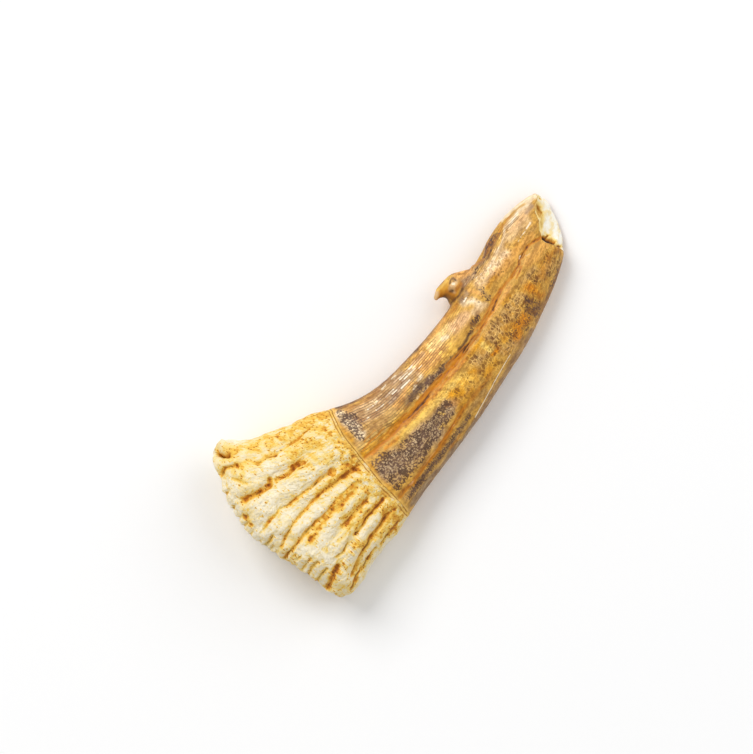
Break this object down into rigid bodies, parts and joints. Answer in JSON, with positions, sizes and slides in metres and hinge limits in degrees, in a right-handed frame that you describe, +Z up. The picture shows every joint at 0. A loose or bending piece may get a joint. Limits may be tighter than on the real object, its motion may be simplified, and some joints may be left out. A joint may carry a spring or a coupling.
{
  "type": "fossil sawskate rostral spine",
  "caption": "Fossil rostral spine of a sawskate lying on its broad side, with a fluted root, a curved grooved crown and a barb on its concave edge.",
  "frame": {"origin": "bottom centre of the object's box, on the surface that it rests on", "axes": "+X from the root to the broken tip, +Y towards the concave edge with the barb, +Z up out of the broad side"},
  "size_m": [0.07, 0.0312, 0.0122],
  "materials": {
    "fossil": "amber and brown enamel, satin, over a chalky cream root with ochre stains"
  },
  "bodies": {
    "root": {"rostral_spine": "fossil"}
  },
  "joints": []
}
